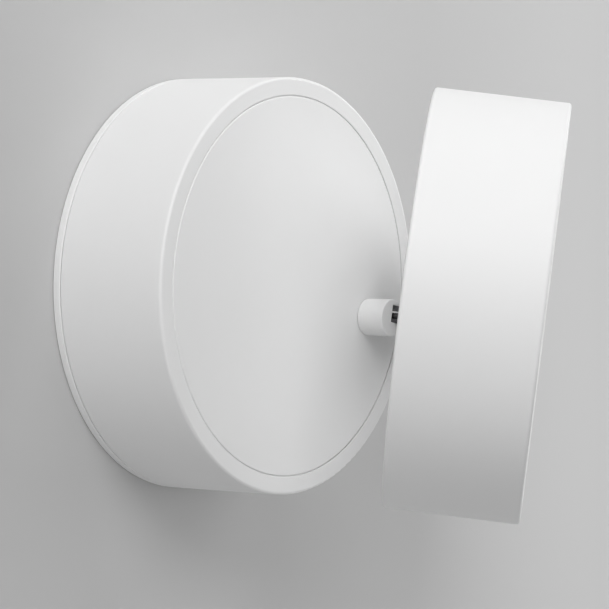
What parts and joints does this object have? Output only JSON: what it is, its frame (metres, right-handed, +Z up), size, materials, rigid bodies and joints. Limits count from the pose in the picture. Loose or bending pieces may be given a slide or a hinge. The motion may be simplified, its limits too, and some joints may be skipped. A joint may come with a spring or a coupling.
{
  "type": "pivoting wall spotlight",
  "caption": "Wall spotlight of two equal flat white drums: one on the wall, one as the lamp head on a short off-centre pivot that swivels and tilts.",
  "frame": {"origin": "centre of the wall plate's back face, where it meets the wall", "axes": "+Z up, -Y out from the wall into the room, +X to the right as seen from the room"},
  "size_m": [0.1297, 0.1261, 0.1163],
  "materials": {
    "white_paint": "satin powder coat",
    "dark_steel": "satin black",
    "zinc_steel": "bright zinc",
    "brass": "satin",
    "bearing_plastic": "matte",
    "bare_aluminium": "satin",
    "white_plastic": "matte",
    "white_reflector": "matte",
    "opal_diffuser": "satin opal",
    "green_board": "satin",
    "white_board": "satin",
    "led_phosphor": "satin",
    "grey_rubber": "matte",
    "black_rubber": "matte",
    "transformer_tape": "satin",
    "capacitor_sleeve": "gloss",
    "brown_wire": "satin",
    "blue_wire": "satin",
    "earth_wire": "satin",
    "black_wire": "satin"
  },
  "bodies": {
    "base": {"wall_plate": "white_paint", "cable_grommet": "grey_rubber", "base_housing": "white_paint", "housing_grub_screws": "zinc_steel", "face_disc": "white_paint", "face_disc_washers": "zinc_steel", "face_disc_nuts": "zinc_steel", "terminal_block": "white_plastic", "terminal_clamps": "brass", "terminal_clamp_screws": "zinc_steel", "terminal_fixing_screws": "zinc_steel", "earth_washer": "zinc_steel", "earth_lug": "brass", "earth_screw": "zinc_steel", "driver_case": "white_plastic", "driver_cover": "white_plastic", "driver_board": "green_board", "driver_transformer": "transformer_tape", "driver_capacitor": "capacitor_sleeve", "driver_screws": "zinc_steel", "live_wire": "brown_wire", "neutral_wire": "blue_wire", "earth_wire": "earth_wire", "supply_wire": "black_wire", "swivel_bush": "bearing_plastic", "stop_pin": "zinc_steel"},
    "pivot": {"pivot_stub": "white_paint", "stop_washer": "zinc_steel", "spring_washer": "zinc_steel", "lock_nut": "zinc_steel", "pivot_pins": "zinc_steel", "pivot_wire": "black_wire", "joint_sleeve": "black_rubber"},
    "head": {"tilt_knuckle": "dark_steel", "head_housing": "white_paint", "knuckle_washer": "zinc_steel", "knuckle_nut": "zinc_steel", "heat_sink": "bare_aluminium", "heat_sink_screws": "zinc_steel", "thermal_pad": "grey_rubber", "led_board": "white_board", "board_screws": "zinc_steel", "led_chips": "led_phosphor", "board_connector": "white_plastic", "head_wire": "black_wire", "reflector": "white_reflector", "diffuser": "opal_diffuser"}
  },
  "joints": [
    {"name": "swivel", "type": "hinge", "parent": "base", "child": "pivot", "pos_m": [0.03415, -0.0356, -0.00934], "axis": [0, -1, 0], "range_deg": [-167.5, 162.5]},
    {"name": "tilt", "type": "hinge", "parent": "pivot", "child": "head", "pos_m": [0.03578, -0.0406, -0.00848], "axis": [0.2215, 0, 0.9751], "range_deg": [-32.8, 2.2], "deforming": ["joint_sleeve"]}
  ]
}
